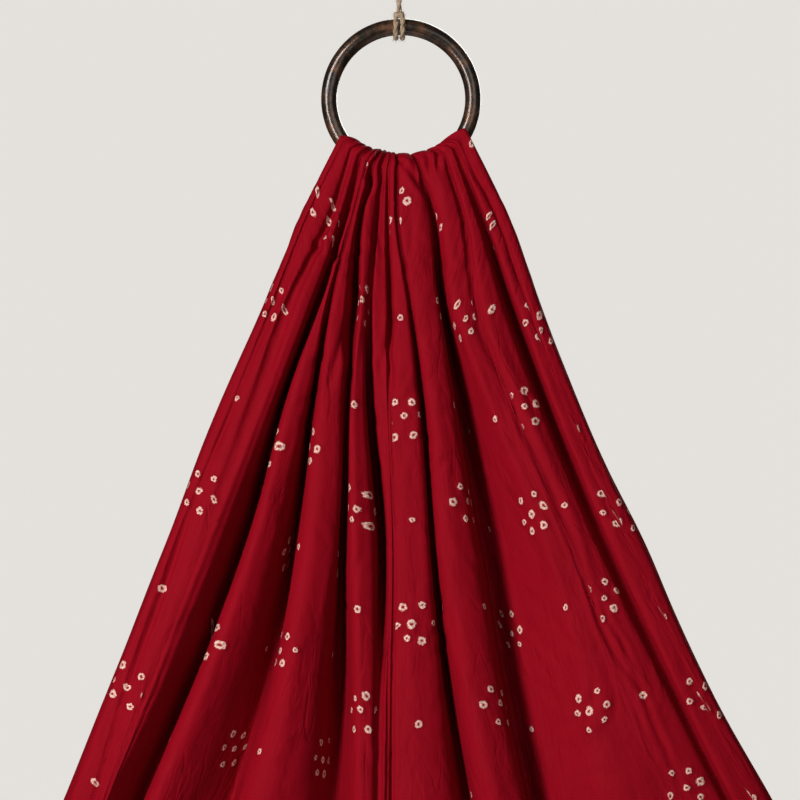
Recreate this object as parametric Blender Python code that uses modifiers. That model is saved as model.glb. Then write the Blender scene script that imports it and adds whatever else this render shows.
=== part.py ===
# Bandhani cloth slung over a metal ring, with the jute twine that the ring hangs by.
# Metres, +Z up. The front of the cloth faces -Y. The origin is the inner top of the
# twine's hanging loop, where a hook or a nail carries it.

import math

import bmesh
import bpy
import numpy as np

MM = 0.001

# Ring, in mm. Heights of the twine's pieces are measured from the ring's centre.
RING_CENTRE_Z = -125.5
RING_RADIUS = 43.2
TUBE_RADIUS = 4.8

# Jute twine, in mm
STRAND_RADIUS = 1.5
CORD_RADIUS = 1.7
TWINE_X = -1.1
LEG_APART = 2.05
TAIL_APART = 1.7
HITCH_RADIUS = 6.8
ARCH_FORWARD = 4.9
ARCH_HEIGHT = 49.8
TAIL_BACK = 1.9
TAIL_HEIGHT = 51.7
CORD_BOTTOM = 52.2
CORD_TOP = 94.8
KNOT_HEIGHT = 99.8
KNOT_RADIUS = 4.2
KNOT_HALF_HEIGHT = 4.6
LOOP_CENTRE = 114.0
LOOP_HALF_HEIGHT = 13.0
LOOP_WIDTH = 7.5
LOOP_START = 0.8

# Cloth, in mm. A drop is a depth below the ring's centre.
CLOTH_THICK = 1.2
FLOOR_HALF = 1.6
LIP_ROUND_MOST = 12.0
RIDGE_LEAN = 0.34
EDGE_CURLS = (0.4, 0.85)
EDGE_STEP = 0.12
SADDLE_FLOOR = 7.8
SADDLE_CROWN = 8.6
SADDLE_HEAP = 3.0
SADDLE_LEFT = math.radians(-137)
SADDLE_RIGHT = math.radians(-43)
HEM_DROP = 490.0
HEM_RISE = 46.0
HEM_HALF_WIDTH = 212.0
BACK_WIDTH = 0.95
BACK_DROP = 0.985
BACK_LEAST_DEPTH = 0.5
SWAY = 4.0
SWAY_START = 60.0
SWAY_FULL = 220.0

# Stations down the drop: how far the ridges and the valley floors stand forward of the ring
DROPS = {"neck": 69.6, "high": 120.6, "middle": 180.6, "low": 264.6, "foot": 348.6, "hem": 420.6}
CROWNS = {"ring": 13, "neck": 19, "high": 31, "middle": 39, "low": 42, "foot": 42, "hem": 42}
FLOORS = {"ring": 7.8, "neck": 6, "high": 3.5, "middle": 2.5, "low": 2.2, "foot": 2, "hem": 2}
STATIONS = ("ring", "neck", "high", "middle", "low", "foot", "hem")
# How far a ridge falls to its lips, as a share of its width, and to its right, of its height
LIP_ROUNDS = {"ring": 0.2, "neck": 0.2, "high": 0.25, "middle": 0.3, "low": 0.35, "foot": 0.35, "hem": 0.35}
TILTS = {"ring": 0.0, "neck": 0.03, "high": 0.06, "middle": 0.08, "low": 0.10, "foot": 0.11, "hem": 0.11}

# Selvedges: place across the cloth at each station
LEFT_EDGE = (-36.6, -60.0, -81.0, -107.4, -139.8, -173.4, -202.8)
RIGHT_EDGE = (39.0, 63.6, 82.2, 105.0, 143.4, 181.2, 222.0)

# Valleys from left to right, a row for each measure: place across, width of the mouth, and
# depth as a share of the room between ridge and floor, at the seven stations. Lean is how
# far the floor slides under the right-hand lip (or the left, where it is negative).
VALLEYS = {
    "outer_left": {
        "across": (-33.6, -54.6, -74.4, -98.4, -132.0, -161.4, -183.0),
        "mouth": (2.0, 2.6, 3.0, 3.0, 4.0, 4.5, 4.0),
        "depth": (0.20, 0.15, 0.06, 0.03, 0.02, 0.02, 0.01),
        "lean": 0.0,
    },
    "first_left": {
        "across": (-29.4, -41.4, -64.8, -86.4, -118.2, -149.4, -176.4),
        "mouth": (2.6, 5.0, 8.0, 9.0, 6.0, 4.0, 3.0),
        "depth": (0.45, 0.48, 0.16, 0.06, 0.00, 0.00, 0.00),
        "lean": 0.3,
    },
    "main_left": {
        "across": (-24.6, -33.6, -49.8, -72.0, -99.6, -132.6, -165.0),
        "mouth": (3.0, 4.5, 5.0, 7.0, 15.0, 18.0, 22.0),
        "depth": (0.60, 0.70, 0.85, 0.95, 1.00, 1.00, 0.95),
        "lean": 0.9,
    },
    "split_left": {
        "across": (-20.7, -28.8, -42.3, -52.8, -67.8, -89.4, -114.6),
        "mouth": (1.6, 2.0, 3.0, 4.5, 12.5, 23.0, 33.0),
        "depth": (0.00, 0.00, 0.26, 0.80, 1.00, 1.00, 0.95),
        "lean": 0.8,
    },
    "middle_left": {
        "across": (-16.8, -24.0, -28.2, -32.4, -34.8, -39.0, -42.6),
        "mouth": (3.0, 4.0, 8.0, 4.0, 6.0, 19.0, 28.0),
        "depth": (0.55, 0.60, 0.75, 0.42, 0.70, 1.00, 0.90),
        "lean": 0.3,
    },
    "centre_left": {
        "across": (-12.0, -14.4, -18.6, -18.6, -11.4, -12.6, -12.6),
        "mouth": (2.8, 3.2, 3.4, 4.6, 8.0, 7.0, 5.0),
        "depth": (0.45, 0.48, 0.18, 0.65, 0.75, 0.20, 0.08),
        "lean": 0.0,
    },
    "centre_crease": {
        "across": (-7.5, -7.8, -6.6, -6.6, -4.0, -4.8, -5.4),
        "mouth": (2.2, 2.8, 3.0, 3.0, 3.0, 3.2, 3.4),
        "depth": (0.35, 0.40, 0.34, 0.04, 0.04, 0.06, 0.06),
        "lean": 0.0,
    },
    "centre_right": {
        "across": (-2.4, -2.4, 4.8, 12.0, 18.6, 27.6, 39.0),
        "mouth": (3.2, 3.6, 3.4, 4.0, 4.0, 7.0, 12.0),
        "depth": (0.50, 0.22, 0.18, 0.42, 0.48, 0.75, 0.85),
        "lean": 0.0,
    },
    "main_right": {
        "across": (12.0, 19.8, 25.2, 40.0, 63.0, 79.0, 90.0),
        "mouth": (3.4, 6.0, 5.0, 17.0, 36.0, 41.0, 32.0),
        "depth": (0.60, 0.75, 0.90, 1.00, 1.00, 1.00, 1.00),
        "lean": -0.8,
    },
    "panel": {
        "across": (25.8, 36.6, 44.4, 63.0, 98.0, 129.0, 158.0),
        "mouth": (3.0, 4.0, 8.0, 10.0, 10.0, 12.0, 12.0),
        "depth": (0.50, 0.36, 0.10, 0.00, 0.00, 0.00, 0.00),
        "lean": 0.0,
    },
    "first_right": {
        "across": (31.8, 46.8, 63.0, 84.6, 119.0, 158.0, 194.0),
        "mouth": (2.8, 5.0, 8.0, 8.0, 8.0, 8.0, 7.0),
        "depth": (0.60, 0.70, 0.68, 0.52, 0.36, 0.24, 0.20),
        "lean": 0.2,
    },
    "outer_right": {
        "across": (35.4, 56.4, 74.4, 96.6, 134.0, 174.0, 209.0),
        "mouth": (2.2, 3.0, 3.0, 3.0, 3.0, 3.0, 3.0),
        "depth": (0.25, 0.15, 0.03, 0.00, 0.00, 0.00, 0.00),
        "lean": 0.0,
    },
}
# Height of the ridge before each valley and after the last, as a share of the crown. The
# back drop lies closer behind the wide right-hand panel.
RIDGES = (0.74, 0.85, 0.93, 0.88, 1.00, 0.95, 0.80, 0.92, 1.00, 0.95, 0.90, 0.86, 0.80)
BACK_RIDGES = (0.60, 0.72, 0.76, 0.80, 0.76, 0.76, 0.68, 0.85, 0.76, 0.33, 0.30, 0.65, 0.58)

# Rows of the cloth: round the ring and down each drop
WRAP_ROWS = 6
FRONT_ROWS = 15
BACK_ROWS = 10
ROW_SPREAD = 1.25


def section(station, ridges, least_depth):
    """Control points (across, forward) of the cross-section at a station, left to right."""
    i = STATIONS.index(station)
    crowns = [CROWNS[station] * share for share in ridges]
    rows = list(VALLEYS.values())
    lips = []
    for row in rows:
        half = row["mouth"][i] / 2
        lips.append((row["across"][i] - half, row["across"][i] + half))
    starts = [LEFT_EDGE[i]] + [right for left, right in lips]
    ends = [left for left, right in lips] + [RIGHT_EDGE[i]]
    depths = [max(row["depth"][i], least_depth) for row in rows]
    levels = [(a + b) / 2 for a, b in zip(crowns, crowns[1:])]

    # Height of each ridge by its left lip and by its right one: it leans towards its
    # neighbour where no valley parts them, and sinks to the right where one does
    leans = [(1 - depth) * RIDGE_LEAN for depth in depths]
    rises = crowns[:1] + [h + (level - h) * lean for h, level, lean in zip(crowns[1:], levels, leans)]
    falls = [h + (level - h) * lean for h, level, lean in zip(crowns, levels, leans)] + crowns[-1:]
    falls = [h * (1 - TILTS[station] * depth) for h, depth in zip(falls, depths + [0])]

    curl = EDGE_CURLS[0] * crowns[0]
    step = EDGE_STEP * (ends[0] - starts[0])
    points = [(starts[0], curl), (starts[0] + step, (curl + crowns[0]) / 2)]
    for k, (row, depth) in enumerate(zip(rows, depths)):
        left, right = lips[k]
        half = (right - left) / 2
        span = ends[k] - starts[k]
        points += [(starts[k] + span * 0.33, rises[k]), (starts[k] + span * 0.67, falls[k])]

        floor_half = min(FLOOR_HALF, 0.7 * half)
        floor_x = (left + right) / 2 + row["lean"] * half * depth
        heights = []
        for side in (k, k + 1):
            droop = min(LIP_ROUNDS[station] * (ends[side] - starts[side]), LIP_ROUND_MOST)
            heights.append(levels[k] + depth * (crowns[side] - levels[k] - droop))
        floor = [height + depth * (FLOORS[station] - height) for height in heights]
        points.append((left, heights[0]))
        points.append(((left + floor_x - floor_half) / 2, (heights[0] + floor[0]) / 2))
        points.append((floor_x - floor_half, floor[0]))
        points.append((floor_x + floor_half, floor[1]))
        points.append(((right + floor_x + floor_half) / 2, (heights[1] + floor[1]) / 2))
        points.append((right, heights[1]))
    span = ends[-1] - starts[-1]
    points += [(starts[-1] + span * 0.33, rises[-1]), (starts[-1] + span * 0.67, falls[-1])]
    curl = EDGE_CURLS[1] * crowns[-1]
    step = EDGE_STEP * span
    points += [(ends[-1] - step, (curl + crowns[-1]) / 2), (ends[-1], curl)]
    return np.array(points)


SECTIONS = np.array([section(station, RIDGES, 0) for station in STATIONS])
BACK_SECTIONS = np.array([section(station, BACK_RIDGES, BACK_LEAST_DEPTH) for station in STATIONS])
COLUMNS = SECTIONS.shape[1]


def smooth_between(knots, values, at):
    """Smooth curve through values at rising knots, one curve for each column."""
    span = np.diff(knots, axis=0)
    slope = np.diff(values, axis=0) / span
    inner = (slope[:-1] * span[1:] + slope[1:] * span[:-1]) / (span[:-1] + span[1:])
    tangent = np.vstack([slope[:1], inner, slope[-1:]])
    k = np.clip((knots <= at).sum(axis=0) - 1, 0, len(knots) - 2)
    column = np.arange(values.shape[1])
    width = span[k, column]
    t = (at - knots[k, column]) / width
    low, high = values[k, column], values[k + 1, column]
    low_slope, high_slope = tangent[k, column] * width, tangent[k + 1, column] * width
    inside = (
        low * (1 + 2 * t) * (1 - t) ** 2
        + low_slope * t * (1 - t) ** 2
        + high * t * t * (3 - 2 * t)
        + high_slope * t * t * (t - 1)
    )
    return np.where(t > 1, high + high_slope * (t - 1), inside)


def ring_angles():
    """Angle round the ring at which each column passes its front, and its top."""
    across = np.clip(SECTIONS[0, :, 0] / RING_RADIUS, -0.99, 0.99)
    front = -np.arccos(across)
    share = (front - front[0]) / (front[-1] - front[0])
    return front, SADDLE_LEFT + (SADDLE_RIGHT - SADDLE_LEFT) * share


def saddle_reach():
    """Distance of each column from the tube's centreline where it passes over the ring."""
    forward = SECTIONS[0, :, 1]
    share = (forward - FLOORS["ring"]) / (CROWNS["ring"] - FLOORS["ring"])
    across = np.linspace(-1, 1, COLUMNS)
    crown = SADDLE_CROWN + SADDLE_HEAP * np.cos(across * math.pi / 2) ** 2
    return SADDLE_FLOOR + np.clip(share, 0, 1) * (crown - SADDLE_FLOOR)


def wrap_row(turn):
    """Control points of a row round the ring: turn 0 is its front and 1 is its back."""
    front, top = ring_angles()
    rise, face = math.sin(turn * math.pi), math.cos(turn * math.pi)
    narrow = 1 if turn <= 0.5 else 1 + (BACK_WIDTH - 1) * face * face
    angle = top + (-math.pi / 2 + (front + math.pi / 2) * narrow - top) * face * face
    sections = SECTIONS if turn <= 0.5 else BACK_SECTIONS
    forward = np.maximum(sections[0, :, 1], SADDLE_FLOOR)
    reach = saddle_reach() * rise * rise + forward * face * face
    from_centre = RING_RADIUS - reach * rise
    return np.column_stack([from_centre * np.cos(angle), -reach * face, from_centre * np.sin(angle)])


def sway(x, drop):
    """How far both drops hang back together, so that they don't lie in one plane."""
    grown = np.clip((drop - SWAY_START) / (SWAY_FULL - SWAY_START), 0, 1) ** 2
    return SWAY * grown * (np.sin(drop / 85 + 0.6) + np.sin(x / 60 + drop / 140))


def drop_row(share, side):
    """Control points of a row down a drop: share runs from ring to hem, side is -1 or 1."""
    start = wrap_row(0 if side < 0 else 1)
    sections = SECTIONS if side < 0 else BACK_SECTIONS
    width = 1 if side < 0 else BACK_WIDTH
    below = np.array([[DROPS[station]] * COLUMNS for station in STATIONS[1:]])
    knots = np.vstack([-start[:, 2], below])
    across = np.vstack([start[:, 0], sections[1:, :, 0] * width])
    forward = np.vstack([start[:, 1] * side, sections[1:, :, 1]])
    hem = HEM_DROP - HEM_RISE * (SECTIONS[-1, :, 0] / HEM_HALF_WIDTH) ** 2
    hem = hem * (1 if side < 0 else BACK_DROP)
    drop = knots[0] + (hem - knots[0]) * share
    x = smooth_between(knots, across, drop)
    y = smooth_between(knots, forward, drop) * side
    return np.column_stack([x, y + sway(x, drop), -drop])


def rounded(row, places):
    """Points of a cubic B-spline through a row of control points, at places along it."""
    ends = [2 * row[0] - row[1]], [2 * row[-1] - row[-2]]
    net = np.vstack([ends[0], row, ends[1]])
    k = np.clip(np.floor(places).astype(int), 0, COLUMNS - 2)
    t = (places - k)[:, None]
    weights = (
        (1 - t) ** 3 / 6,
        (3 * t**3 - 6 * t * t + 4) / 6,
        (-3 * t**3 + 3 * t * t + 3 * t + 1) / 6,
        t**3 / 6,
    )
    return sum(weight * net[k + step] for step, weight in enumerate(weights))


def solid_columns():
    """Places of the solid's columns: ridge middle, lips and floor of each valley."""
    places = [0, 1]
    first = 2
    for _ in VALLEYS:
        places += [first + 0.5, first + 2, first + 4, first + 5, first + 7]
        first += 8
    return np.array(places + [first + 0.5, COLUMNS - 2, COLUMNS - 1], float)


def cloth_rows():
    """Every row of control points from the front hem, over the ring, to the back hem."""
    front = [drop_row((k / FRONT_ROWS) ** ROW_SPREAD, -1) for k in range(FRONT_ROWS, 0, -1)]
    wrap = [wrap_row(k / WRAP_ROWS) for k in range(WRAP_ROWS + 1)]
    back = [drop_row((k / BACK_ROWS) ** ROW_SPREAD, 1) for k in range(1, BACK_ROWS + 1)]
    return front + wrap + back


def material(name, colour, roughness, metallic=0.0):
    made = bpy.data.materials.new(name)
    made.use_nodes = True
    shader = made.node_tree.nodes["Principled BSDF"]
    shader.inputs["Base Color"].default_value = (*colour, 1.0)
    shader.inputs["Roughness"].default_value = roughness
    shader.inputs["Metallic"].default_value = metallic
    made.diffuse_color = (*colour, 1.0)
    return made


def keep(obj, collection, finish):
    """File an object in the part's collection with its material."""
    for other in list(obj.users_collection):
        other.objects.unlink(obj)
    collection.objects.link(obj)
    obj.data.materials.append(finish)
    return obj


def make_cloth(collection):
    places = solid_columns()
    rows = cloth_rows()
    mesh = bpy.data.meshes.new("cloth")
    grid = bmesh.new()
    bmesh.ops.create_grid(grid, x_segments=len(places) - 1, y_segments=len(rows) - 1, size=0.5)
    draped = [rounded(row, places) for row in rows]
    for vert in grid.verts:
        column = round((vert.co.x + 0.5) * (len(places) - 1))
        row = round((vert.co.y + 0.5) * (len(rows) - 1))
        x, y, z = draped[row][column]
        vert.co = (x * MM, y * MM, (z + RING_CENTRE_Z) * MM)
    grid.to_mesh(mesh)
    grid.free()
    mesh.shade_smooth()
    cotton = material("red bandhani cotton", (0.27, 0.006, 0.012), 0.75)
    cloth = keep(bpy.data.objects.new("cloth", mesh), collection, cotton)
    cloth.modifiers.new("same diagonals on both faces", "TRIANGULATE")
    thick = cloth.modifiers.new("thickness", "SOLIDIFY")
    thick.thickness = CLOTH_THICK * MM
    thick.offset = 0
    return cloth


def make_ring(collection):
    bpy.ops.mesh.primitive_torus_add(
        location=(0, 0, RING_CENTRE_Z * MM),
        rotation=(math.pi / 2, 0, 0),
        major_segments=64,
        minor_segments=12,
        major_radius=RING_RADIUS * MM,
        minor_radius=TUBE_RADIUS * MM,
    )
    ring = bpy.context.object
    ring.name = "ring"
    ring.data.shade_smooth()
    return keep(ring, collection, material("dark aged bronze", (0.05, 0.028, 0.018), 0.45, 0.9))


def make_tube(name, points, radius, collection, finish):
    """A round strand along points given in mm from the ring's centre."""
    curve = bpy.data.curves.new(name, "CURVE")
    curve.dimensions = "3D"
    curve.bevel_depth = radius * MM
    curve.bevel_resolution = 2
    curve.use_fill_caps = True
    line = curve.splines.new("POLY")
    line.points.add(len(points) - 1)
    for point, (x, y, z) in zip(line.points, points):
        point.co = ((x + TWINE_X) * MM, y * MM, (z + RING_CENTRE_Z) * MM, 1)
    return keep(bpy.data.objects.new(name, curve), collection, finish)


def hitch_points():
    """The lark's head: up the left tail's back, under the ring, over the arch, and back."""
    half = [(-TAIL_APART, TAIL_BACK, TAIL_HEIGHT), (-TAIL_APART, 3.5, 50.3)]
    for degrees in range(135, 391, 15):
        angle = math.radians(degrees)
        share = min(1, (degrees - 135) / 60)
        x = -TAIL_APART - (LEG_APART - TAIL_APART) * share
        half.append((x, -HITCH_RADIUS * math.cos(angle), RING_RADIUS + HITCH_RADIUS * math.sin(angle)))
    half.append((-LEG_APART, -5.35, 48.3))
    half.append((-1.3, -ARCH_FORWARD, ARCH_HEIGHT - 0.35))
    mirrored = [(-x, y, z) for x, y, z in reversed(half)]
    return half + [(0, -ARCH_FORWARD, ARCH_HEIGHT)] + mirrored


def cord_points():
    """The taut standing pair, from the hitch's tails up to the knot."""
    points = [(0, TAIL_BACK - 0.4, CORD_BOTTOM), (0, 1.0, CORD_BOTTOM + 2), (0, 0.4, CORD_BOTTOM + 4.5)]
    first = CORD_BOTTOM + 8
    return points + [(0, 0, first + (CORD_TOP - first) * k / 6) for k in range(7)]


def loop_points(steps=26):
    """A teardrop loop that starts and ends on the knot."""
    points = []
    for k in range(steps + 1):
        turn = LOOP_START + (2 * math.pi - 2 * LOOP_START) * k / steps
        x = -LOOP_WIDTH * math.sin(turn) * math.sin(turn / 2) ** 1.2
        points.append((x, 0, LOOP_CENTRE - LOOP_HALF_HEIGHT * math.cos(turn)))
    return points


def make_knot(collection, finish):
    mesh = bpy.data.meshes.new("twine_knot")
    ball = bmesh.new()
    bmesh.ops.create_uvsphere(ball, u_segments=16, v_segments=10, radius=KNOT_RADIUS * MM)
    bmesh.ops.scale(ball, vec=(1, 1, KNOT_HALF_HEIGHT / KNOT_RADIUS), verts=ball.verts)
    place = (TWINE_X * MM, 0, (KNOT_HEIGHT + RING_CENTRE_Z) * MM)
    bmesh.ops.translate(ball, vec=place, verts=ball.verts)
    ball.to_mesh(mesh)
    ball.free()
    mesh.shade_smooth()
    return keep(bpy.data.objects.new("twine_knot", mesh), collection, finish)


def main():
    for obj in list(bpy.data.objects):
        bpy.data.objects.remove(obj)
    collection = bpy.data.collections.new("bandhani cloth on a ring")
    bpy.context.scene.collection.children.link(collection)
    jute = material("jute twine", (0.46, 0.32, 0.19), 0.9)
    make_cloth(collection)
    make_ring(collection)
    make_tube("twine_hitch", hitch_points(), STRAND_RADIUS, collection, jute)
    make_tube("twine_cord", cord_points(), CORD_RADIUS, collection, jute)
    make_knot(collection, jute)
    make_tube("twine_loop", loop_points(), STRAND_RADIUS, collection, jute)


main()
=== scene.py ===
import math
import random

import bmesh
import bpy
import numpy as np
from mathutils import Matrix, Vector, noise


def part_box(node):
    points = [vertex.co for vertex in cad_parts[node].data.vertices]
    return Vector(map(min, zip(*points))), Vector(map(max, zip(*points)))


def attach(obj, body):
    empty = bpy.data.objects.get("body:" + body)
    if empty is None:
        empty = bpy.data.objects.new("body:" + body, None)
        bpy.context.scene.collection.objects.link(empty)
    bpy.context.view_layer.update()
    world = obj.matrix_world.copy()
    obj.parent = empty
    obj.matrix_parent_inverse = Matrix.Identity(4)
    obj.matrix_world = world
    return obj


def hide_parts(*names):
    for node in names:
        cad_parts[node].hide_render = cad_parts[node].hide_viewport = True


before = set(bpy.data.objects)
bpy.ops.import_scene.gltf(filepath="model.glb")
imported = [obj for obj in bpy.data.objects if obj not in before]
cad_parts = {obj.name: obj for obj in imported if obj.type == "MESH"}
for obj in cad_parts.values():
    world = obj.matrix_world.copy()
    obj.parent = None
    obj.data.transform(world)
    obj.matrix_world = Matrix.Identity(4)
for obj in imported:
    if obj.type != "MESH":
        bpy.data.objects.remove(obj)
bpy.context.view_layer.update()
ringLow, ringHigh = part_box("ring")
ringCentre = np.array((ringLow + ringHigh) / 2)
mm = 0.001

# Camera, from the photograph's 800 x 800 frame
picture = {
    "side": 800,
    "pixel": 0.6 * mm,  # in the ring's plane
    "ringPixel": (401, 99),
    "distance": 2.2,
    "sensor": 36,
}

# Set: floor, backdrop and lights
studio = {
    "floorDrop": 1.3,
    "floorRadius": 0.9,
    "floorGlow": 0.5,
    "backdrop": "#E4E1DC",
    "backdropGlow": 0.05,
    # A tall narrow key light gives the round bar thin pale streaks
    "keyPlace": (-1.28, -1.68, 0.05),
    "keySize": (0.45, 2.1),
    "keyPower": 51,
    "fillPlace": (0.9, -2.1, 0.2),
    "fillSize": (1.4, 1.4),
    "fillPower": 8,
    "backPlace": (0.6, 1.9, 0.6),
    "backSize": (1.4, 1.4),
    "backPower": 24,
    "lightsAim": (0, 0, -0.32),
}

# Jute twine: heights are from the ring's centre
twine = {
    "x": -1.1,
    "legApart": 2.05,
    "tailApart": 1.7,
    "hitchRadius": 6.8,
    "archForward": 4.9,
    "archHeight": 49.8,
    "tailBack": 1.9,
    "tailHeight": 51.7,
    "cordBottom": 52.2,
    "cordTop": 94.8,
    "cordRadius": 1.7,
    "knotHeight": 99.8,
    "knotReach": 2.7,
    "knotHalfHeight": 3.1,
    "loopCentre": 114.0,
    "loopHalfHeight": 13.0,
    "loopWidth": 7.5,
    "loopStart": 0.8,
    "plyRadius": 0.98,
    "plyOffset": 0.54,
    "plyPitch": 11.0,
    "cordPlyRadius": 1.0,
    "cordPlyOffset": 0.72,
    "cordPitch": 19.0,
    "step": 0.55,
    "plySides": 10,
    "uneven": 0.09,
    "unevenLength": 3.1,
    "hairReach": 1.5,
    "hairs": {"twineHitch": 260, "twineCord": 130, "twineKnot": 100, "twineLoop": 150},
}

# A round bar, a little uneven, and a little thicker towards its top
ringBar = {
    "radius": 43.2,
    "tube": 4.8,
    "turns": 260,
    "sides": 48,
    "uneven": 0.16,
    "topThicker": 0.25,
    "unevenSize": 3.0,
}

# The cloth's drape, in mm: the same folds as its solid's on a finer grid, with a softer crest
cloth = {
    "floorHalf": 1.6,
    "lipRoundMost": 12.0,
    "ridgeLean": 0.34,
    "edgeCurls": (0.4, 0.85),
    "edgeStep": 0.12,
    "ringFloor": 7.8,
    "saddleNotch": 1.5,  # how far a valley dips where it crosses the ring
    "saddleCrown": 8.6,
    "saddleHeap": 3.0,
    "saddleLeft": math.radians(-137),
    "saddleRight": math.radians(-43),
    "hemDrop": 490.0,
    "hemRise": 46.0,
    "hemHalfWidth": 212.0,
    "backWidth": 0.95,
    "backDrop": 0.985,
    "backLeastDepth": 0.5,
    "sway": 4.0,
    "swayStart": 60.0,
    "swayFull": 220.0,
    "columns": 430,
    "frontRows": 148,
    "wrapRows": 20,
    "backRows": 58,
    "rowSpread": 1.15,
    "hemGap": 0.4,
    # How much of the cloth that a row has no room for is tucked into its valleys, by drop
    "tuckDrops": (60.0, 140.0),
    "tuckShares": (0.8, 1.0),
    "tuckWidth": 0.8,
    "crestBare": 10.0,  # no dots show this near the crest, and they come in over as much again
}
stations = ("ring", "neck", "high", "middle", "low", "foot", "hem")
drops = {"neck": 69.6, "high": 120.6, "middle": 180.6, "low": 264.6, "foot": 348.6, "hem": 420.6}
crowns = {"ring": 13, "neck": 19, "high": 31, "middle": 39, "low": 42, "foot": 42, "hem": 42}
floors = {"ring": 7.8, "neck": 6, "high": 3.5, "middle": 2.5, "low": 2.2, "foot": 2, "hem": 2}
# How far a ridge falls to its lips, as a share of its width, and to its right, of its height
lipRounds = {"ring": 0.2, "neck": 0.2, "high": 0.25, "middle": 0.3, "low": 0.35, "foot": 0.35, "hem": 0.35}
tilts = {"ring": 0.0, "neck": 0.03, "high": 0.06, "middle": 0.08, "low": 0.10, "foot": 0.11, "hem": 0.11}
leftEdge = (-36.6, -60.0, -81.0, -107.4, -139.8, -173.4, -202.8)
rightEdge = (39.0, 63.6, 82.2, 105.0, 143.4, 181.2, 222.0)
# Each valley: place across, width of the mouth and depth at the seven stations, and its lean
valleys = {
    "outerLeft": (
        (-33.6, -54.6, -74.4, -98.4, -132.0, -161.4, -183.0),
        (2.0, 2.6, 3.0, 3.0, 4.0, 4.5, 4.0),
        (0.20, 0.15, 0.06, 0.03, 0.02, 0.02, 0.01),
        0.0,
    ),
    "firstLeft": (
        (-29.4, -41.4, -64.8, -86.4, -118.2, -149.4, -176.4),
        (2.6, 5.0, 8.0, 9.0, 6.0, 4.0, 3.0),
        (0.45, 0.48, 0.16, 0.06, 0.00, 0.00, 0.00),
        0.3,
    ),
    "mainLeft": (
        (-24.6, -33.6, -49.8, -72.0, -99.6, -132.6, -165.0),
        (3.0, 4.5, 5.0, 7.0, 15.0, 18.0, 22.0),
        (0.60, 0.70, 0.85, 0.95, 1.00, 1.00, 0.95),
        0.9,
    ),
    "splitLeft": (
        (-20.7, -28.8, -42.3, -52.8, -67.8, -89.4, -114.6),
        (1.6, 2.0, 3.0, 4.5, 12.5, 23.0, 33.0),
        (0.00, 0.00, 0.26, 0.80, 1.00, 1.00, 0.95),
        0.8,
    ),
    "middleLeft": (
        (-16.8, -24.0, -28.2, -32.4, -34.8, -39.0, -42.6),
        (3.0, 4.0, 8.0, 4.0, 6.0, 19.0, 28.0),
        (0.55, 0.60, 0.75, 0.42, 0.70, 1.00, 0.90),
        0.3,
    ),
    "centreLeft": (
        (-12.0, -14.4, -18.6, -18.6, -11.4, -12.6, -12.6),
        (2.8, 3.2, 3.4, 4.6, 8.0, 7.0, 5.0),
        (0.45, 0.48, 0.18, 0.65, 0.75, 0.20, 0.08),
        0.0,
    ),
    "centreCrease": (
        (-7.5, -7.8, -6.6, -6.6, -4.0, -4.8, -5.4),
        (2.2, 2.8, 3.0, 3.0, 3.0, 3.2, 3.4),
        (0.35, 0.40, 0.34, 0.04, 0.04, 0.06, 0.06),
        0.0,
    ),
    "centreRight": (
        (-2.4, -2.4, 4.8, 12.0, 18.6, 27.6, 39.0),
        (3.2, 3.6, 3.4, 4.0, 4.0, 7.0, 12.0),
        (0.50, 0.22, 0.18, 0.42, 0.48, 0.75, 0.85),
        0.0,
    ),
    "mainRight": (
        (12.0, 19.8, 25.2, 40.0, 63.0, 79.0, 90.0),
        (3.4, 6.0, 5.0, 17.0, 36.0, 41.0, 32.0),
        (0.60, 0.75, 0.90, 1.00, 1.00, 1.00, 1.00),
        -0.8,
    ),
    "panel": (
        (25.8, 36.6, 44.4, 63.0, 98.0, 129.0, 158.0),
        (3.0, 4.0, 8.0, 10.0, 10.0, 12.0, 12.0),
        (0.50, 0.36, 0.10, 0.00, 0.00, 0.00, 0.00),
        0.0,
    ),
    "firstRight": (
        (31.8, 46.8, 63.0, 84.6, 119.0, 158.0, 194.0),
        (2.8, 5.0, 8.0, 8.0, 8.0, 8.0, 7.0),
        (0.60, 0.70, 0.68, 0.52, 0.36, 0.24, 0.20),
        0.2,
    ),
    "outerRight": (
        (35.4, 56.4, 74.4, 96.6, 134.0, 174.0, 209.0),
        (2.2, 3.0, 3.0, 3.0, 3.0, 3.0, 3.0),
        (0.25, 0.15, 0.03, 0.00, 0.00, 0.00, 0.00),
        0.0,
    ),
}
ridges = (0.74, 0.85, 0.93, 0.88, 1.00, 0.95, 0.80, 0.92, 1.00, 0.95, 0.90, 0.86, 0.80)
backRidges = (0.60, 0.72, 0.76, 0.80, 0.76, 0.76, 0.68, 0.85, 0.76, 0.33, 0.30, 0.65, 0.58)

# Where the pattern lies on each ridge: the thread at the ridge's middle, and how far
# the cloth there has slipped up over the ring, in mm
ridgeThreads = (-357, -346, -332, -290, -187, -50, -27, 0, 135, 252, 303, 340, 353)
ridgeSlips = (5, 4, 4, 21, 16, -14, -13, -9, -17, 0, 2, 18, 30)
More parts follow.
